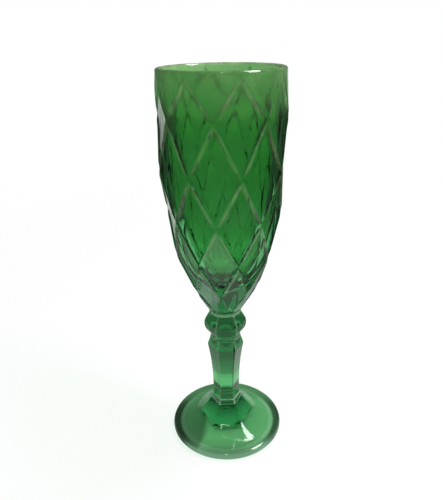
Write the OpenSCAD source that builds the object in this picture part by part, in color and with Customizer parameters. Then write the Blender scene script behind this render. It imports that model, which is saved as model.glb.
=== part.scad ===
// Pressed-glass champagne flute: a bowl cut with diamonds, a merese, a faceted
// knop, a six-sided stem, a bevelled collar and a petalled round foot.
// Millimetres, +Z up. The origin is the centre of the ring that the foot stands on.

/* [Foot] */
// Diameter of the foot over its round edge
foot_d = 64.2; // [50:0.2:80]
// Thickness of the foot at its edge, which is a full round
edge_t = 4.6; // [3:0.1:6]
// Height of the foot where the collar sits on it
foot_h = 19.2; // [14:0.2:26]
// How fast the six petals fall away from the collar
petal_fall = 8.2; // [7:0.1:9]
// How fast the round ground between the petals falls away
ground_fall = 7.2; // [6:0.1:8]
// Diameter of the hollow under the foot
hollow_d = 48; // [30:1:56]
// Depth of the hollow at its middle
hollow_depth = 1.6; // [0.6:0.1:3]

/* [Collar and stem] */
// Height of the bevelled collar
collar_h = 2.9; // [1.5:0.1:5]
// Corner radius of the collar where it leaves the foot
collar_r = 9.2; // [8.6:0.1:12]
// Ledge left on the collar round the bottom of the stem
collar_ledge = 0.2; // [0.1:0.05:0.6]
// Height of the stem, from the collar to the knop
stem_h = 40.5; // [30:0.5:70]
// Corner radius at the stem's waist
waist_r = 7.6; // [6:0.1:8.2]
// Height of the waist above the collar
waist_h = 7.4; // [4:0.1:12]
// Corner radius of the stem's crown, its widest place
crown_r = 10.2; // [9:0.1:13]
// Drop of the crown below the top of the stem
crown_drop = 5.7; // [4:0.1:9]
// Turn of the stem's corners from the X axis
stem_turn = 2.6; // [-30:0.1:30]

/* [Knop and merese] */
// Height of the knop, its neck included
knop_h = 15.8; // [13:0.1:20]
// Corner radius at the knop's widest place
knop_r = 11.8; // [10.5:0.1:14]
// Height of the widest place above the knop's seat
knop_mid_h = 8; // [7:0.1:9]
// Radius that the panels are rounded with, in height
panel_round = 8.5; // [7.5:0.1:9.5]
// Radius of the round neck under the knop
neck_r = 8.35; // [7:0.05:8.6]
// Height of that neck within the knop
neck_h = 2.6; // [1.5:0.1:4]
// Radius of the merese between knop and bowl
merese_r = 8.85; // [8.4:0.05:11]
// Height of the merese
merese_h = 2; // [1.4:0.1:4]
// Rounding of the merese's edges
merese_round = 0.5; // [0.2:0.1:0.7]

/* [Bowl] */
// Height of the bowl
bowl_h = 124.6; // [116:0.2:150]
// Radius of the bowl where it sits on the merese
seat_r = 9.05; // [8.6:0.05:11]
// Radius of the mouth over the glass
mouth_r = 30.2; // [28:0.1:36]
// Thickness of the glass at the mouth
wall = 3; // [2.6:0.1:4]
// Rounding of the lip, inside and out
lip_round = 1.2; // [0.6:0.1:1.2]
// Solid glass between the seat and the floor of the bowl
base_t = 16.1; // [12:0.1:24]
// Narrowing of the inside from the mouth to the floor
draft = 0.8; // [0.4:0.1:2]

/* [Diamonds] */
// Number of diamonds around the bowl
diamonds = 8; // [7:1:12]
// How far each row of the ridges' crossings stands out beyond the mouth, from the bottom up
row_out = [-12.1, -4.7, -1, 1.45, 0.85]; // [-16:0.05:4]
// Height of the lowest row of crossings above the seat
first_row_h = 14.8; // [12:0.1:18]
// Height from that row to the next one
row_pitch = 20.3; // [18:0.1:22]
// How much taller each row is than the one below it
row_growth = 1.4; // [0:0.1:2.4]
// Plain band between the top points of the diamonds and the lip
plain_band = 1; // [0.4:0.1:4]
// Turn of the lowest row's crossings from the X axis
bowl_turn = -7.1; // [-45:0.1:45]

/* [Hidden] */
$fn = 96;

inradius = cos(30);       // a hexagon's flats, as a share of its corner radius
curve_steps = 12;         // straight runs in each sampled curve
edge_r = edge_t / 2;
foot_r = foot_d / 2;
flat_r = foot_r - edge_r; // where the foot's top meets its round edge

collar_z = foot_h;
stem_z = collar_z + collar_h;
knop_z = stem_z + stem_h;
merese_z = knop_z + knop_h;
bowl_z = merese_z + merese_h;

// The bowl's ridges cross in level rows, and run up to points below the lip.
tip_h = bowl_h - lip_round - plain_band;
top_row = len(row_out) - 1;
function row_h(i) = first_row_h + i * row_pitch + row_growth * i * (i - 1) / 2;

half_step = 180 / diamonds;   // from a crossing to the next one a row above or below
arc_steps = 4;                // straight runs of the round rings in a half step
ring_n = 2 * diamonds * arc_steps;
lip_steps = 4;                // rings that round the outside of the lip

function on_ring(r, a, h) = [r * cos(a + bowl_turn), r * sin(a + bowl_turn), h];
function ring(r, h) = [for (j = [0:ring_n - 1]) on_ring(r, j * half_step / arc_steps, h)];

bowl_points = concat(
    ring(seat_r, 0),
    [for (i = [0:top_row], k = [0:diamonds - 1])
        on_ring(mouth_r + row_out[i], (2 * k + i % 2) * half_step, row_h(i))],
    ring(mouth_r, tip_h),
    [for (s = [0:lip_steps]) let (a = s * 90 / lip_steps)
        each ring(mouth_r - lip_round * (1 - cos(a)), bowl_h - lip_round * (1 - sin(a)))]);

// Places in that list: a point of the seat ring, a crossing and a point of the rings
// above the rows. A crossing is named by its row and its count of half steps.
function wrap(n, limit) = (n + limit) % limit;
function seat_pt(j) = wrap(j, ring_n);
function crossing_pt(i, s) = ring_n + i * diamonds + wrap((s - i % 2) / 2, diamonds);
function upper_pt(level, j) = ring_n + len(row_out) * diamonds + level * ring_n + wrap(j, ring_n);
function above_pt(i, s) = i == top_row ? upper_pt(0, s * arc_steps) : crossing_pt(i + 1, s);
function below_pt(i, s) = i == 0 ? seat_pt(s * arc_steps) : crossing_pt(i - 1, s);

// Every diamond is two flat facets that meet in a level valley between the
// crossings at its sides. Fans close the gaps below the first row and above the last.
diamond_faces = [for (i = [0:top_row], k = [0:diamonds - 1], up = [true, false])
    let (s = 2 * k + i % 2, left = crossing_pt(i, s), right = crossing_pt(i, s + 2))
    up ? [above_pt(i, s + 1), right, left] : [left, right, below_pt(i, s + 1)]];
foot_fans = [for (k = [0:diamonds - 1], j = [-arc_steps:arc_steps - 1])
    let (at = 2 * k * arc_steps + j)
    [crossing_pt(0, 2 * k), seat_pt(at + 1), seat_pt(at)]];
tip_fans = [for (k = [0:diamonds - 1], j = [-arc_steps:arc_steps - 1])
    let (s = 2 * k + top_row % 2, at = s * arc_steps + j)
    [crossing_pt(top_row, s), upper_pt(0, at), upper_pt(0, at + 1)]];
lip_faces = [for (level = [0:lip_steps], j = [0:ring_n - 1])
    [upper_pt(level, j), upper_pt(level + 1, j), upper_pt(level + 1, j + 1), upper_pt(level, j + 1)]];
bowl_faces = concat(
    [[for (j = [0:ring_n - 1]) seat_pt(j)]],
    diamond_faces, foot_fans, tip_fans, lip_faces,
    [[for (j = [ring_n - 1:-1:0]) upper_pt(lip_steps + 1, j)]]);

// A six-sided body with a corner at the angle turn: three slabs, each an outline of
// distance to the flats against height, and crossed at 60 degrees.
module six_sided(turn, reach) {
    intersection_for(k = [0:2])
        rotate([0, 0, turn + 30 + 60 * k])
            rotate([90, 0, 0])
                linear_extrude(height = 2 * reach, center = true)
                    children();
}

// A half outline, from the bottom up, with its mirror image.
function both_sides(half) = concat(half, [for (i = [len(half) - 1:-1:0]) [-half[i][0], half[i][1]]]);

// Height of a surface that falls from the point (r0, h0) to the foot's edge.
function fall_z(r, r0, h0, fall) =
    let (end = exp((r0 - flat_r) / fall), low = (edge_t - h0 * end) / (1 - end))
    low + (h0 - low) * exp((r0 - r) / fall);

// The foot: six petals that fall from the collar into a round, with a full-round
// edge and a shallow hollow below.
module foot() {
    petal_r = collar_r * inradius;
    ground_top = foot_h * 1.1;   // above the petals at their corners
    dome_r = (pow(hollow_d / 2, 2) + pow(hollow_depth, 2)) / (2 * hollow_depth);
    color("mediumseagreen")
    difference() {
        intersection() {
            six_sided(stem_turn, foot_r + 1)
                polygon(both_sides(concat([[foot_r + 1, 0]],
                    [for (s = [curve_steps + 1:-1:0])
                        let (r = petal_r + (flat_r - petal_r) * s / curve_steps)
                        [r, fall_z(r, petal_r, foot_h, petal_fall)]])));
            rotate_extrude() {
                polygon(concat([[0, 0]], [[flat_r, 0]],
                    [for (s = [curve_steps:-1:0])
                        let (r = collar_r + (flat_r - collar_r) * s / curve_steps)
                        [r, fall_z(r, collar_r, ground_top, ground_fall)]],
                    [[0, ground_top]]));
                translate([flat_r, edge_r])
                    circle(r = edge_r);
            }
        }
        translate([0, 0, hollow_depth - dome_r])
            sphere(r = dome_r);
    }
}

// The bevelled collar that the stem stands on.
module collar() {
    top_r = stem_edge_r(0) / inradius + collar_ledge;
    color("seagreen")
    translate([0, 0, collar_z])
        six_sided(stem_turn, collar_r)
            polygon(both_sides([[collar_r * inradius, 0], [top_r * inradius, collar_h]]));
}

// The stem's flats are hollowed with one long arc, from below the waist to the crown.
crown_h = stem_h - crown_drop;
crown_rise = (crown_r - waist_r) * inradius;
sweep_r = (pow(crown_h - waist_h, 2) + pow(crown_rise, 2)) / (2 * crown_rise);
function stem_edge_r(h) = waist_r * inradius + sweep_r - sqrt(pow(sweep_r, 2) - pow(h - waist_h, 2));

// The stem: six hollowed flats up to a sharp crown, then six shoulders up to the neck.
module stem() {
    color("mediumseagreen")
    translate([0, 0, stem_z]) {
        six_sided(stem_turn, crown_r)
            polygon(both_sides(concat(
                [for (s = [0:curve_steps]) let (h = crown_h * s / curve_steps) [stem_edge_r(h), h]],
                [[neck_r * inradius, stem_h]])));
        translate([0, 0, crown_h])
            cylinder(r = neck_r, h = crown_drop);
    }
}

// The knop: six panels rounded in height, with straight shoulders that run up to
// the merese, on a round neck.
module knop() {
    panel_x = knop_r * inradius - panel_round;
    top_x = merese_r * inradius;
    reach = norm([top_x - panel_x, knop_h - knop_mid_h]);
    touch = atan2(knop_h - knop_mid_h, top_x - panel_x) - acos(panel_round / reach);
    low = asin((neck_h / 2 - knop_mid_h) / panel_round);   // where the panels start on the neck
    color("seagreen")
    translate([0, 0, knop_z]) {
        six_sided(stem_turn, knop_r)
            polygon(both_sides(concat(
                [for (s = [0:curve_steps]) let (a = low + (touch - low) * s / curve_steps)
                    [panel_x + panel_round * cos(a), knop_mid_h + panel_round * sin(a)]],
                [[top_x, knop_h]])));
        cylinder(r = neck_r, h = neck_h);
    }
}

// The merese: a flat button of glass that welds the bowl to the knop.
module merese() {
    color("palegreen")
    translate([0, 0, merese_z])
        rotate_extrude() {
            square([merese_r - merese_round, merese_h]);
            translate([0, merese_round])
                square([merese_r, merese_h - 2 * merese_round]);
            for (h = [merese_round, merese_h - merese_round])
                translate([merese_r - merese_round, h])
                    circle(r = merese_round);
        }
}

// What the plunger leaves empty: a blunt-nosed plug with a flare that rounds the lip.
module plunger() {
    inner_r = mouth_r - wall;
    depth = bowl_h - base_t;
    body = [for (s = [0:2 * curve_steps])
        let (a = 45 * s / curve_steps, up = sqrt(cos(a)))
        [(inner_r - draft * up) * sin(a), bowl_h - depth * up]];
    below_lip = [for (p = body) if (p[1] < bowl_h - lip_round) p];
    flare = [for (s = [0:lip_steps]) let (a = s * 90 / lip_steps)
        [inner_r + lip_round * (1 - cos(a)), bowl_h - lip_round * (1 - sin(a))]];
    above = bowl_h + lip_round;
    rotate_extrude()
        polygon(concat(below_lip, flare, [[inner_r + lip_round, above], [0, above]]));
}

// The bowl: flat diamond facets outside, smooth inside.
module bowl() {
    color("forestgreen")
    translate([0, 0, bowl_z])
        difference() {
            polyhedron(points = bowl_points, faces = bowl_faces, convexity = 6);
            plunger();
        }
}

foot();
collar();
stem();
knop();
merese();
bowl();
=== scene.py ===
from math import acos, asin, atan2, cos, exp, hypot, log, pi, radians, sin, sqrt

import bpy
from mathutils import Matrix, Vector


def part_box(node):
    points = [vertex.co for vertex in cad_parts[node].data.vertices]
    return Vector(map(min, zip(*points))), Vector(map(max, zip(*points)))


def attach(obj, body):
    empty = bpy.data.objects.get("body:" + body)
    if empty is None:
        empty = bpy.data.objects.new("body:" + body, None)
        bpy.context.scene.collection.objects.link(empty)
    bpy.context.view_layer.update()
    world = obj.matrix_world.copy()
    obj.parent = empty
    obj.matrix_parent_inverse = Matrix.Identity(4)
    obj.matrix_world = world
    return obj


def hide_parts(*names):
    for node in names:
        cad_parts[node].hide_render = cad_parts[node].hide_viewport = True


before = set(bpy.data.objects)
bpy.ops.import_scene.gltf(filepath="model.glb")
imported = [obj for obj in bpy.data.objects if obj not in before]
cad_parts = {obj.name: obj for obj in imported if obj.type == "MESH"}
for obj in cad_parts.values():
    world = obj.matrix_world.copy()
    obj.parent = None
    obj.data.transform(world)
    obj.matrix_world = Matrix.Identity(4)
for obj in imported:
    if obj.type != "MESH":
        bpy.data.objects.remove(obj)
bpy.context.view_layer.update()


# ---- Foot ----
# The round foot that the flute stands on: six petals of clear green glass fall away
# from the collar and melt into a round with a thick, rolled edge. Pressed in one
# piece with the stem, with a shallow hollow below, and fire-polished.

mm = 0.001
foot_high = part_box("foot")[1]
foot_r = foot_high.x / mm
foot_top = foot_high.z / mm
edge_t = 4.6
flat_r = foot_r - edge_t / 2
petal_fall, ground_fall, ground_rise = 8.2, 7.2, 1.1
collar_r = 9.2
hollow_r, hollow_depth = 24.0, 1.6
stem_turn = radians(2.6)
# How far the flat sides of a hexagon reach, as a share of its corners.
flat_share = cos(pi / 6)
petal_soft, ridge_soft = 0.35, 0.25
corner_round = 0.35

# Columns of points round a six-sided form, close together at its corners, and how
# much each lies on a corner, where the painted sheen goes.
corner_columns = [0, 0.7, 1.4, 2.2, 3.2, 4.6, 7, 10, 14, 18, 22, 26]
round_corner = [-a for a in reversed(corner_columns[1:])] + corner_columns + [30]
hex_columns = [radians(corner * 60 + away) for corner in range(6) for away in round_corner]
corner_sheen = [max(0, 1 - abs(away) / 5) for _ in range(6) for away in round_corner]


def six_sided(flat, rounding, angle):
    """Reach of a hexagon with rounded corners, at an angle from its first corner."""
    away = abs((angle + pi / 6) % (pi / 3) - pi / 6)
    core = (flat - rounding) / flat_share
    if away < atan2(rounding / 2, core + rounding * flat_share):
        return core * cos(away) + sqrt(rounding ** 2 - (core * sin(away)) ** 2)
    return flat / cos(pi / 6 - away)


def soft_least(values, width):
    """The least of some values, with the change from one to the next smoothed."""
    least = min(values)
    return least - width * log(sum(exp((least - v) / width) for v in values))


def hex_ring(reach, height):
    """A ring of points round the axis. Reach and height are numbers or depend on the angle."""
    ring = []
    for angle in hex_columns:
        r = reach(angle) if callable(reach) else reach
        z = height(angle, r) if callable(height) else height
        ring.append((r * cos(angle + stem_turn), r * sin(angle + stem_turn), z))
    return ring


def press_glass(name, rings, weld_below=False, weld_above=False, sheen_at=None):
    """A closed body through rings of points in millimetres, from below to above. The face
    that closes an end can be a weld, where this glass runs on into the next piece."""
    count = len(rings[0])
    points = [tuple(c * mm for c in p) for ring in rings for p in ring]
    faces = [list(range(count))[::-1]]
    for level in range(len(rings) - 1):
        a, b = level * count, (level + 1) * count
        for j in range(count):
            k = (j + 1) % count
            faces.append([a + j, a + k, b + k, b + j])
    faces.append(list(range((len(rings) - 1) * count, len(rings) * count)))
    mesh = bpy.data.meshes.new(name)
    mesh.from_pydata(points, [], faces)
    mesh.polygons.foreach_set("use_smooth", [True] * len(faces))
    weld = mesh.attributes.new("weld", "FLOAT", "FACE")
    weld.data[0].value = float(weld_below)
    weld.data[len(faces) - 1].value = float(weld_above)
    # Where the painted pale sheen lies, a matt finish that stands in for highlights.
    if sheen_at:
        sheen_layer = mesh.attributes.new("painted_sheen", "FLOAT", "POINT")
        sheen_layer.data.foreach_set("value", sheen_at)
    mesh.materials.append(green_glass)
    body = bpy.data.objects.new(name, mesh)
    bpy.context.scene.collection.objects.link(body)
    return body


class Level:
    """A number that varies over a surface. Arithmetic on it adds Math nodes."""

    def __init__(self, finish, socket):
        self.finish, self.socket = finish, socket

    def _math(self, operation, *terms):
        return self.finish.node("ShaderNodeMath", {"operation": operation},
                                **{f"i{n}": t for n, t in enumerate(terms)})

    def __add__(self, other):
        return self._math("ADD", self, other)

    def __sub__(self, other):
        return self._math("SUBTRACT", self, other)

    def __rsub__(self, other):
        return self._math("SUBTRACT", other, self)

    def __mul__(self, other):
        return self._math("MULTIPLY", self, other)

    def __gt__(self, other):
        return self._math("GREATER_THAN", self, other)

    __radd__, __rmul__ = __add__, __mul__

    def either(self, other):
        return self._math("MAXIMUM", self, other)


class Finish:
    """The nodes of one material or of the world."""

    def __init__(self, owner):
        owner.use_nodes = True
        self.tree = owner.node_tree
        self.tree.nodes.clear()

    def node(self, kind, settings=None, out=0, **sockets):
        """Adds a node, with its settings first. A socket is named, or i0, i1 by place."""
        made = self.tree.nodes.new(kind)
        for name, value in (settings or {}).items():
            setattr(made, name, value)
        for name, value in sockets.items():
            by_place = name[0] == "i" and name[1:].isdigit()
            key = int(name[1:]) if by_place else name.replace("_", " ")
            if isinstance(value, Level):
                self.tree.links.new(value.socket, made.inputs[key])
            else:
                made.inputs[key].default_value = value
        return Level(self, made.outputs[out]) if made.outputs else made


# Clear green glass with the slow ripple of pressing. A pale matt painted sheen stands in for
# highlights on its ribs, edges and lip band, and its light fades with the depth of glass. A weld lets light
# pass as it comes.
green_glass = bpy.data.materials.new("green_glass")
glass = Finish(green_glass)
place = glass.node("ShaderNodeTexCoord", out="Object")
flow = glass.node("ShaderNodeTexNoise", Scale=1.0, Detail=2.0, Vector=glass.node(
    "ShaderNodeVectorMath", {"operation": "MULTIPLY"}, out="Vector", i0=place, i1=(260, 260, 70)))
ripple = glass.node("ShaderNodeBump", Strength=0.5, Distance=0.0003, Height=flow, out="Normal")
clear = glass.node("ShaderNodeBsdfPrincipled", Base_Color=(0.19, 0.52, 0.21, 1), Roughness=0.0, IOR=1.5,
                   Transmission_Weight=1.0, Normal=ripple)
# The painted sheen is olive round the mouth and mint further down.
mint, olive = (0.52, 0.68, 0.50, 1), (0.44, 0.62, 0.30, 1)
how_high = glass.node("ShaderNodeSeparateXYZ", Vector=place, out="Z")
to_olive = glass.node("ShaderNodeMapRange", Value=how_high, From_Min=0.09, From_Max=0.16)
sheen_tone = glass.node("ShaderNodeMix", {"data_type": "RGBA"}, out=2, i0=to_olive, i6=mint, i7=olive)
sheen_finish = glass.node("ShaderNodeBsdfPrincipled", Base_Color=sheen_tone, Roughness=0.6)
painted_sheen = glass.node("ShaderNodeAttribute", {"attribute_name": "painted_sheen"}, out="Fac")
patchy = glass.node("ShaderNodeTexNoise", Vector=place, Scale=110.0, Detail=1.0)
glass_with_sheen = glass.node("ShaderNodeMixShader", i0=painted_sheen * patchy * 0.5, i1=clear, i2=sheen_finish)
weld = glass.node("ShaderNodeAttribute", {"attribute_name": "weld"}, out="Fac")
open_weld = glass.node("ShaderNodeBsdfTransparent", Color=(1, 1, 1, 1))
skin = glass.node("ShaderNodeMixShader", i0=weld, i1=glass_with_sheen, i2=open_weld)
let_light = glass.node("ShaderNodeBsdfTransparent", Color=(0.80, 0.93, 0.83, 1))
surface = glass.node("ShaderNodeMixShader", i0=glass.node("ShaderNodeLightPath", out="Is Shadow Ray"),
                     i1=skin, i2=let_light)
depth = glass.node("ShaderNodeVolumeAbsorption", Color=(0.0, 0.62, 0.42, 1), Density=68)
glass.node("ShaderNodeOutputMaterial", Surface=surface, Volume=depth)


def fall_z(r, r0, h0, fall):
    """Height of a surface that falls from (r0, h0) to the foot's edge."""
    end = exp((r0 - flat_r) / fall)
    low = (edge_t - h0 * end) / (1 - end)
    return low + (h0 - low) * exp((r0 - r) / fall)


def foot_height(angle, r):
    """Height of the foot's top: the petals, or the round ground that they melt into."""
    flat = -soft_least([-r * cos(angle - pi / 6 - side * pi / 3) for side in range(6)], ridge_soft)
    petals = fall_z(flat, collar_r * flat_share, foot_top, petal_fall)
    ground = fall_z(r, collar_r, foot_top * ground_rise, ground_fall)
    return min(soft_least([petals, ground], petal_soft), foot_top)


dome_r = (hollow_r ** 2 + hollow_depth ** 2) / (2 * hollow_depth)
foot_rings = [hex_ring(r, hollow_depth - dome_r + sqrt(dome_r ** 2 - r ** 2))
              for r in [0.3, 3, 6, 9, 12, 15, 18, 21, 23.4]]
foot_rings += [hex_ring(hollow_r + 0.7, 0), hex_ring(flat_r - 0.4, 0)]
foot_rings += [hex_ring(flat_r + edge_t / 2 * sin(a), edge_t / 2 * (1 - cos(a)))
               for a in [pi * s / 14 for s in range(14)]]
top_steps = 28
for step in range(top_steps + 1):
    out = (1 - step / top_steps) ** 1.6
    foot_rings.append(hex_ring(
        lambda a: (1 - out) * six_sided(collar_r * flat_share, corner_round, a) + out * flat_r,
        foot_height if step < top_steps else foot_top))
foot = press_glass("foot_glass", foot_rings, weld_above=True)
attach(foot, "root")
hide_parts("foot")


# ---- Collar ----
# The low six-sided collar between foot and stem, of the same green glass. It leans in
# from the foot's petals to a narrow ledge round the stem, and its two edges stand
# proud in the mould, with a painted pale sheen that makes them look paler than its faces.

collar_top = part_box("collar")[1].z / mm
weld_lap = 0.01
collar_sheen = 1.3
waist_r, waist_h, crown_r, crown_h = 7.6, 7.4, 10.2, 34.8
crown_rise = (crown_r - waist_r) * flat_share
sweep_r = ((crown_h - waist_h) ** 2 + crown_rise ** 2) / (2 * crown_rise)
collar_flat = collar_r * flat_share


def stem_flat(h):
    """Reach of the stem's flat sides, which sweep in to a waist and out to the crown."""
    return waist_r * flat_share + sweep_r - sqrt(sweep_r ** 2 - (h - waist_h) ** 2)


stem_foot = stem_flat(0)
ledge_flat = stem_foot + 0.2 * flat_share
# Reach and height of each ring of the collar, and how much painted sheen its edge has.
collar_profile = [(collar_flat, foot_top - weld_lap, 0.9), (collar_flat - 0.13, foot_top + 0.4, 0),
                  (ledge_flat + 0.26, collar_top - 0.7, 0), (ledge_flat + 0.12, collar_top - 0.3, 0.9),
                  (ledge_flat, collar_top - 0.05, 1), (ledge_flat - 0.1, collar_top, 1),
                  (stem_foot, collar_top, 0.6)]
collar_rings = [hex_ring(lambda a: six_sided(flat, corner_round, a), z) for flat, z, _ in collar_profile]
collar = press_glass("collar_glass", collar_rings, weld_below=True, weld_above=True,
                     sheen_at=[max(edge, corner) * collar_sheen
                              for _, _, edge in collar_profile for corner in corner_sheen])
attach(collar, "root")
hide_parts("collar")


# ---- Stem ----
# The six-sided stem, solid green glass pressed in one with the foot. Its sides sweep
# out from a waist to a crown of sharp corners, then a short shoulder draws in to the
# round neck below the knop. Its corners carry a light painted sheen.

stem_low, stem_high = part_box("stem")
stem_z, stem_h = stem_low.z / mm, (stem_high.z - stem_low.z) / mm
neck_r = 8.35
stem_sheen = 0.35


def soft_most(values, width):
    """The greatest of some values, with the change from one to the next smoothed."""
    return -soft_least([-v for v in values], width)


def stem_reach(h):
    """Reach of the stem at a height above its foot, by angle."""
    if h <= crown_h:
        return lambda a: six_sided(stem_flat(h), corner_round, a)
    rise = (h - crown_h) / (stem_h - crown_h)
    flat = stem_flat(crown_h) + (neck_r * flat_share - stem_flat(crown_h)) * rise
    return lambda a: soft_most([six_sided(flat, corner_round, a), neck_r], 0.1)


stem_levels = [0.3] + [crown_h * s / 24 for s in range(1, 24)] + [crown_h - 0.4, crown_h - 0.1]
stem_levels += [crown_h + 0.1 + (stem_h - crown_h - 0.1) * s / 12 for s in range(1, 13)]
stem_rings = [hex_ring(stem_reach(0), stem_z - weld_lap)]
stem_rings += [hex_ring(stem_reach(h), stem_z + h) for h in stem_levels]
stem = press_glass("stem_glass", stem_rings, weld_below=True, weld_above=True,
                   sheen_at=[corner * stem_sheen for _ in stem_rings for corner in corner_sheen])
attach(stem, "root")
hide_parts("stem")


# ---- Knop ----
# The knop, a bead of green glass that the hand finds at the top of the stem: six
# panels that bulge from a round neck and lean in again to the merese. Pressed with
# the stem, with a painted pale sheen on its corners.

knop_low, knop_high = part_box("knop")
knop_z, knop_h = knop_low.z / mm, (knop_high.z - knop_low.z) / mm
knop_r, knop_mid_h, panel_round, neck_h = 11.8, 8.0, 8.5, 2.6
panel_corner, top_corner = 0.6, 3.3
merese_r, merese_round = 8.85, 0.5
knop_sheen = 0.5
panel_x = knop_r * flat_share - panel_round
top_x = merese_r * flat_share
slant = hypot(top_x - panel_x, knop_h - knop_mid_h)
touch = atan2(knop_h - knop_mid_h, top_x - panel_x) - acos(panel_round / slant)
low = asin((neck_h / 2 - knop_mid_h) / panel_round)
panel_curve = [(panel_x + panel_round * cos(a), knop_mid_h + panel_round * sin(a))
               for a in [low + (touch - low) * s / 24 for s in range(25)]]
bulge_x, bulge_h = panel_curve[-1]
panel_curve += [(bulge_x + (top_x - bulge_x) * s / 4, bulge_h + (knop_h - bulge_h) * s / 4)
                for s in range(1, 5)]
knop_rings = [hex_ring(neck_r, knop_z - weld_lap), hex_ring(neck_r, knop_z + neck_h / 2 - 0.05)]
for flat, h in panel_curve:
    above = max(0, (h - knop_mid_h) / (knop_h - knop_mid_h))
    rounding = panel_corner + (top_corner - panel_corner) * above ** 2
    neck = [neck_r] if h < neck_h else []
    knop_rings.append(hex_ring(
        lambda a: soft_most([six_sided(flat, rounding, a)] + neck, 0.08), knop_z + h))
knop = press_glass("knop_glass", knop_rings, weld_below=True, weld_above=True,
                   sheen_at=[corner * knop_sheen * (level > 1)
                            for level in range(len(knop_rings)) for corner in corner_sheen])
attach(knop, "root")
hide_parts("knop")


# ---- Merese ----
# The merese, a thin round button of green glass where the hot bowl is set on the knop.
# Its rolled edge carries a painted pale sheen that stands in for a glint, and its two faces are welds.

merese_low, merese_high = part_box("merese")
merese_z, merese_h = merese_low.z / mm, (merese_high.z - merese_low.z) / mm
weld_r = merese_r - merese_round
merese_sheen, sheen_levels = 1.2, range(5, 10)
quarter = [pi / 2 * s / 6 for s in range(7)]
merese_rings = [hex_ring(lambda a: six_sided(top_x, top_corner, a), merese_z - weld_lap),
                hex_ring(weld_r, merese_z)]
merese_rings += [hex_ring(weld_r + 0.05 + merese_round * sin(a), merese_z + merese_round * (1 - cos(a)))
                 for a in quarter]
merese_rings += [hex_ring(weld_r + merese_round * sin(a), merese_z + merese_h - merese_round * (1 - cos(a)))
                 for a in reversed(quarter)]
merese = press_glass("merese_glass", merese_rings, weld_below=True, weld_above=True,
                     sheen_at=[merese_sheen * (level in sheen_levels)
                              for level in range(len(merese_rings)) for _ in hex_columns])
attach(merese, "root")
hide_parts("merese")


# ---- Bowl ----
# The deep bowl, pressed in green glass in a patterned mould: level rows of lozenges, each
# of two facets, between ribs that run up to points below the plain lip. The inside is
# smooth. The lip is fire-polished, and a painted pale sheen on the band below it and on the ribs makes them
# look paler.

bowl_low, bowl_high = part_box("bowl")
bowl_z, bowl_h = bowl_low.z / mm, (bowl_high.z - bowl_low.z) / mm
mouth_r, wall, base_t, draft, seat_r = 30.2, 3.0, 16.1, 0.8, 9.05
lip_r, inner_r = wall / 2, mouth_r - wall
half_step = pi / 8
bowl_turn = radians(-7.1)
# The levels at which ribs cross, and how far out: the seat, five rows, and the points.
tip_h = bowl_h - 2.2
first_h, row_step, row_growth = 14.8, 20.3, 0.7
level_h = [0] + [first_h + row_step * row + row_growth * row * (row - 1) for row in range(5)] + [tip_h]
level_r = [seat_r] + [mouth_r + out for out in (-12.1, -4.7, -1, 1.45, 0.85)] + [mouth_r]
creases = [3, 3, 3, 3, 4]
panel_soft, panel_sink, sink_fade = 0.07, 0.35, 8
rib_h, rib_below, rib_above, rib_fade = 0.6, 2.0, 0.8, 4
# How much painted sheen the lip band, the inside and the ribs get, and its spread across a rib.
lip_sheen, lip_band, inside_sheen, inside_band = 0.48, 26, 0.6, 10
rib_sheen, sheen_mid, sheen_half, sheen_soft, sheen_fade = 0.42, 0.8, 1.3, 0.9, 5
column_count, ring_count, lip_count = 12, 180, 16


def ridge_course(height):
    """The course of ridges that a height is in, how far up the course it is, and how far
    round its ridges stand from the crossings below them."""
    course = max([row for row in range(6) if level_h[row] <= height] + [0])
    low_r, high_r = level_r[course], level_r[course + 1]
    share = (height - level_h[course]) / (level_h[course + 1] - level_h[course])
    ridge = atan2(share * high_r * sin(half_step), (1 - share) * low_r + share * high_r * cos(half_step))
    return course, share, ridge


def nearest_ridge(height, angle):
    """The course, how far up it a point is, how far below the nearest ridge, and how far
    from that ridge's ends."""
    course, share, ridge = ridge_course(height)
    mean_r = (level_r[course] + level_r[course + 1]) / 2
    tall, wide = level_h[course + 1] - level_h[course], half_step * mean_r
    column = (angle / half_step + course - 1) % 2
    off = (min(column, 2 - column) * half_step - ridge) * mean_r * tall / hypot(tall, wide)
    return course, share, off, min(share if course else 1, 1 - share) * hypot(tall, wide)


def facets(height, angle):
    """Reach of the outside of the bowl."""
    if height >= tip_h:
        return mouth_r
    reach = [seat_r + (level_r[1] - seat_r) * height / level_h[1]]
    for row in range(5):
        valley = level_r[row + 1] * cos(half_step)
        rise = height - level_h[row + 1]
        upper = (level_r[row + 2] - valley) / (level_h[row + 2] - level_h[row + 1])
        lower = (valley - level_r[row]) / (level_h[row + 1] - level_h[row])
        out = (valley + (upper + lower) / 2 * rise
               + (upper - lower) / 2 * (hypot(rise, creases[row]) - creases[row]))
        column = (angle / half_step - row % 2) % 2 - 1
        reach += [out / cos(away * half_step) for away in (column, 2 - abs(column))]
    panel = soft_least(reach, panel_soft)
    course, share, off, ends = nearest_ridge(height, angle)
    fade = min(1, ends / rib_fade) * (1 if course else share)
    if course == 5:
        rim = level_r[5] + (mouth_r - level_r[5]) * share
        return rim if off <= 0 else min(rim, panel + 0.5 * fade * max(0, 1 - off / rib_below))
    sink = panel_sink * (share if course == 0 else 1)
    if course == 4 and share > 0.5:
        sink *= min(1, ends / sink_fade)
    return panel - sink + rib_h * fade * max(0, 1 - (off / rib_below if off > 0 else -off / rib_above))


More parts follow.
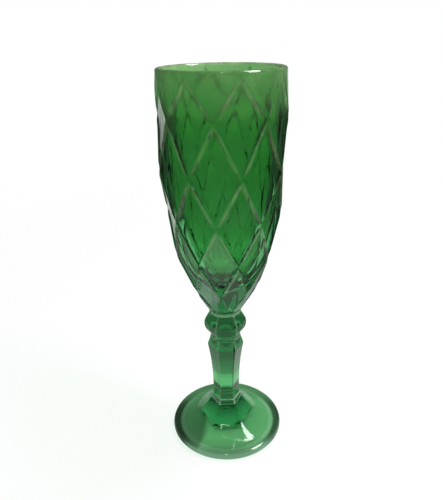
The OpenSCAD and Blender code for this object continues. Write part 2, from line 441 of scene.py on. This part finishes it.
def bowl_ring(height, reach, even=0.0):
    """A ring of points that follow the ridges and crowd beside them, or are spread evenly."""
    course, share, ridge = ridge_course(min(max(height, 0), tip_h))
    ridge = min(max(ridge, 0.006), half_step - 0.006)
    ring = []
    for turn in range(16):
        half = ridge if (turn + course) % 2 else half_step - ridge
        half += (half_step / 2 - half) * even
        for column in range(-column_count, column_count):
            inward = 1 - abs(column) / column_count
            inward += (inward ** 1.7 - inward) * (1 - even)
            angle = turn * half_step + half * (1 - inward) * (1 if column > 0 else -1)
            r = reach(height, angle) if callable(reach) else reach
            ring.append((r * cos(angle + bowl_turn), r * sin(angle + bowl_turn), bowl_z + height))
    return ring


bowl_rings = [bowl_ring(-weld_lap, weld_r), bowl_ring(0, weld_r), bowl_ring(0, seat_r - 0.5)]
bowl_rings += [bowl_ring(h, facets)
               for h in [0.25] + [tip_h * s / ring_count for s in range(1, ring_count + 1)]]
outside_rings = len(bowl_rings) + lip_count // 2 + 1
bowl_rings += [bowl_ring(bowl_h - lip_r + lip_r * sin(a), mouth_r - lip_r + lip_r * cos(a), even=a / pi)
               for a in [pi * s / lip_count for s in range(lip_count + 1)]]
for step in range(41):
    a = pi / 2 * (1 - step / 40)
    sunk = sqrt(cos(a))
    inside_h = bowl_h - (bowl_h - base_t) * sunk
    if inside_h < bowl_h - lip_r - 0.3:
        bowl_rings.append(bowl_ring(inside_h, max((inner_r - draft * sunk) * sin(a), 0.2), even=1))


def sheen_level(point, outside):
    """How much painted sheen the glass has: most towards the lip, and outside along the ribs."""
    x, y, z = point
    h = z - bowl_z
    lip = lip_sheen * min(1, max(0, (h - bowl_h + lip_band) / (lip_band - 2))) ** 1.5
    if not outside:
        return lip + inside_sheen * min(1, max(0, (h - bowl_h + inside_band) / (inside_band - 4)))
    if h >= tip_h or h < 4:
        return lip
    course, _, off, ends = nearest_ridge(h, atan2(y, x) - bowl_turn)
    if course == 0 or course == 5 and off <= 0:
        return lip
    across_rib = min(1, max(0, (sheen_half - abs(off - sheen_mid)) / sheen_soft))
    return lip + rib_sheen * min(1, ends / sheen_fade) * across_rib


bowl = press_glass("bowl_glass", bowl_rings, weld_below=True,
                   sheen_at=[sheen_level(point, level < outside_rings)
                            for level, ring in enumerate(bowl_rings) for point in ring])
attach(bowl, "root")
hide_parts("bowl")


# ---- Studio ----
# A pale matt floor under soft studio light. Clear glass shows what lies round it, so the
# floor and the sky have painted levels of their own for light that has passed through the
# glass or bounced off it: painted shade and painted reflections, as cards and flags round
# a glass give. Seen plainly they are white.

floor_mesh = bpy.data.meshes.new("floor")
floor_mesh.from_pydata([(-30, -30, 0), (30, -30, 0), (30, 30, 0), (-30, 30, 0)], [], [[0, 1, 2, 3]])
floor = bpy.data.objects.new("floor", floor_mesh)
bpy.context.scene.collection.objects.link(floor)

floor_paint = bpy.data.materials.new("floor_paint")
floor_mesh.materials.append(floor_paint)
paint = Finish(floor_paint)
where = paint.node("ShaderNodeNewGeometry", out="Position")
away = paint.node("ShaderNodeVectorMath", {"operation": "LENGTH"}, out="Value", i0=where)
along_x = paint.node("ShaderNodeSeparateXYZ", Vector=where, out="X")
along_y = paint.node("ShaderNodeSeparateXYZ", Vector=where, out="Y")
heading = paint.node("ShaderNodeSeparateXYZ", out="Y", Vector=paint.node(
    "ShaderNodeVectorMath", {"operation": "NORMALIZE"}, out="Vector", i0=where))


def ramp(value, *stops):
    """A level that runs smoothly through stops, each a value and the level there."""
    level = stops[0][1]
    for (low, a), (high, b) in zip(stops, stops[1:]):
        level = level + value.finish.node(
            "ShaderNodeMapRange", {"interpolation_type": "SMOOTHSTEP"},
            Value=value, From_Min=low, From_Max=high, To_Min=0, To_Max=b - a)
    return level


# Through the glass: the ground's painted level by its distance from the flute in metres.
# A painted shadow of the foot lies below its rim and on one side, a painted pale ring
# lies under the stem, and beyond that a painted dark band as far as the light ground behind.
ground = ramp(away, (0.003, 0.36), (0.01, 0.94), (0.033, 0.94), (0.0345, 0.78), (0.0378, 0.78),
              (0.0395, 1.35), (0.048, 1.3), (0.056, 1.1), (0.061, 0.62), (0.08, 0.48), (0.105, 0.33),
              (0.2, 0.26), (0.3, 0.26), (0.6, 0.7), (1.2, 0.9), (2.2, 0.82), (3.5, 0.2))
# Light that has crossed both walls of the bowl is dimmed more, so that painted dark band is paler to it.
both_walls = paint.node("ShaderNodeLightPath", out="Transmission Depth") > 2.5
ground = ground + both_walls * ramp(away, (0.05, 0), (0.062, 0.45), (0.105, 0.9), (0.15, 0.95),
                                    (0.19, 0.66), (0.3, 0.52), (0.6, 0))
# Painted shadows of the foot on the ground: under its rim, on its left side, and at its front and back.
rim_shade = (ramp(away, (0.0265, 0), (0.0285, 0.8), (0.0305, 0.8), (0.033, 0))
             * ramp(along_y, (-0.026, 0), (-0.012, 1), (0.01, 1), (0.024, 0.3)))
side_shade = (ramp(along_x - along_y * 0.3, (-0.011, 0.66), (-0.006, 0.05))
              * ramp(along_y, (0.0, 1), (0.018, 0.65)))
end_shade = ramp(along_y, (-0.027, 0.48), (-0.02, 0.2), (-0.014, 0), (0.012, 0), (0.02, 0.3))
under_foot = ramp(away, (0.03, 1), (0.036, 0))
ground = ground * (1 - rim_shade) * (1 - under_foot * side_shade.either(end_shade))
# Light that has bounced inside the glass on its way, with a painted shadow under the back of the foot.
back_shade = (ramp(away, (0.021, 0), (0.024, 0.78), (0.03, 0.78), (0.034, 0))
              * ramp(along_y, (0.01, 0), (0.018, 1)))
bounced = ramp(away, (0.013, 0.5), (0.02, 1.2), (0.05, 1.2), (0.15, 1.0), (0.35, 0.12)) * (1 - back_shade)
inner_bounce = paint.node("ShaderNodeLightPath", out="Glossy Depth") > 0.5
through = ground + inner_bounce * (bounced - ground)

# Painted reflections in the polished faces: a pale painted backdrop behind, narrow painted
# cards beside the stem and the foot, a painted card in front for the low bowl only, and little else.
painted_backdrop = ramp(heading, (0.8, 0), (0.98, 0.9)) * ramp(away, (0.1, 0.3), (0.3, 1))
painted_right_card = ramp(along_x, (0.012, 0), (0.03, 0.3)) * ramp(away, (0.065, 1), (0.09, 0))
painted_left_card = (ramp(along_x * -1, (0.045, 0), (0.055, 0.9), (0.078, 0.9), (0.1, 0))
             * ramp(heading, (-0.4, 0), (-0.1, 1), (0.15, 1), (0.4, 0)))
painted_front_card = (ramp(heading, (-0.88, 1), (-0.72, 0))
              * ramp(away, (0.08, 0), (0.09, 0.9), (0.125, 0.9), (0.15, 0))
              * ramp(paint.node("ShaderNodeLightPath", out="Ray Length"), (0.118, 0), (0.128, 1)))
below_lip = ramp(heading, (-0.75, 0.42), (-0.5, 0)) * ramp(away, (0.0325, 1), (0.034, 0))
near_ground = ramp(away, (0.034, 0.1), (0.043, 0.42), (0.06, 0.4), (0.09, 0.15)) + below_lip
far_ground = (ramp(heading, (-0.95, 0.2), (-0.75, 1))
              * ramp(away, (0.09, 0), (0.12, 0.15), (0.16, 0.25), (0.22, -0.1), (4, -0.05)))
mirrored = painted_backdrop + painted_left_card + painted_right_card + painted_front_card + near_ground + far_ground

seen_plainly = paint.node("ShaderNodeLightPath", out="Is Camera Ray")
passed = paint.node("ShaderNodeLightPath", out="Is Transmission Ray")
by_glass = paint.node("ShaderNodeLightPath", out="Is Glossy Ray").either(passed)
matt = paint.node("ShaderNodeBsdfPrincipled", Base_Color=(0.65, 0.65, 0.65, 1), Roughness=0.8)
# The far ground is painted slightly warm as seen through the glass.
tone = paint.node("ShaderNodeMix", {"data_type": "RGBA"}, out=2, i0=passed * ramp(away, (0.3, 0), (0.9, 1)),
                  i6=(1, 1, 1, 1), i7=(1, 0.99, 0.78, 1))
white = paint.node("ShaderNodeEmission", Color=tone,
                   Strength=seen_plainly + passed * through + by_glass * (1 - passed) * mirrored)
# Seen plainly, the floor is matt near the flute, for its shadow, and melts into white.
white_share = by_glass.either(seen_plainly * ramp(away, (0.12, 0.6), (0.6, 1)))
paint.node("ShaderNodeOutputMaterial",
           Surface=paint.node("ShaderNodeMixShader", i0=white_share, i1=matt, i2=white))

# The sky: dark at the horizon and pale above as seen through the glass, nearly black in
# its polished faces, and even in the light that it gives.
studio = bpy.data.worlds.new("studio")
bpy.context.scene.world = studio
sky = Finish(studio)
height = sky.node("ShaderNodeSeparateXYZ", Vector=sky.node("ShaderNodeTexCoord", out="Generated"), out="Z")
sky_plain = sky.node("ShaderNodeLightPath", out="Is Camera Ray")
sky_passed = sky.node("ShaderNodeLightPath", out="Is Transmission Ray")
sky_reflected = sky.node("ShaderNodeLightPath", out="Is Glossy Ray") * (1 - sky_passed)
lighting = (1 - sky_plain) * (1 - sky_passed) * (1 - sky_reflected)
sky_through = ramp(height, (-0.01, 0.2), (0.03, 0.2), (0.12, 0.62), (0.3, 0.62), (0.5, 0.85),
                   (0.75, 1.15), (0.9, 1.2))
sky_mirrored = ramp(height, (-0.02, 0.12), (0.2, 0.08))
sky.node("ShaderNodeOutputWorld", Surface=sky.node(
    "ShaderNodeBackground", Color=(1, 1, 1, 1),
    Strength=sky_plain + sky_passed * sky_through + sky_reflected * sky_mirrored + lighting * 0.75))


def softbox(name, place, across, size, power):
    """A rectangular lamp that hangs at a place, long along one direction, and faces the glass."""
    lamp = bpy.data.lights.new(name, "AREA")
    lamp.shape, lamp.size, lamp.size_y, lamp.energy = "RECTANGLE", size[0], size[1], power
    holder = bpy.data.objects.new(name, lamp)
    back = Vector(place).normalized()
    side = (Vector(across) - back * back.dot(Vector(across))).normalized()
    turn = Matrix((side, back.cross(side), back)).transposed()
    holder.matrix_world = Matrix.Translation(place) @ turn.to_4x4()
    holder.visible_transmission = False
    bpy.context.scene.collection.objects.link(holder)


# A long strip at the right, and a small lamp in front.
softbox("strip", (0.70, 0.0, 1.2), (-0.43, 0.75, 0.25), (1.38, 0.32), 23)
softbox("front", (-0.03, -0.70, 1.20), (1, 0.3, 0), (0.08, 0.24), 1.2)

# The camera stands in front, a little higher than the lip, and looks down.
camera_data = bpy.data.cameras.new("camera")
camera_data.lens = 36.27
camera = bpy.data.objects.new("camera", camera_data)
camera_place = (0, -0.2415, 0.2202)
pitch, yaw, roll = radians(23.666), radians(-0.322), radians(1.078)
ahead = Vector((sin(yaw) * cos(pitch), cos(yaw) * cos(pitch), -sin(pitch)))
across = Vector((cos(yaw), -sin(yaw), 0))
up = across.cross(ahead)
right = across * cos(roll) - up * sin(roll)
top = across * sin(roll) + up * cos(roll)
camera.matrix_world = Matrix.Translation(camera_place) @ Matrix((right, top, -ahead)).transposed().to_4x4()
bpy.context.scene.collection.objects.link(camera)
bpy.context.scene.camera = camera
bpy.context.scene.view_settings.view_transform = "Standard"
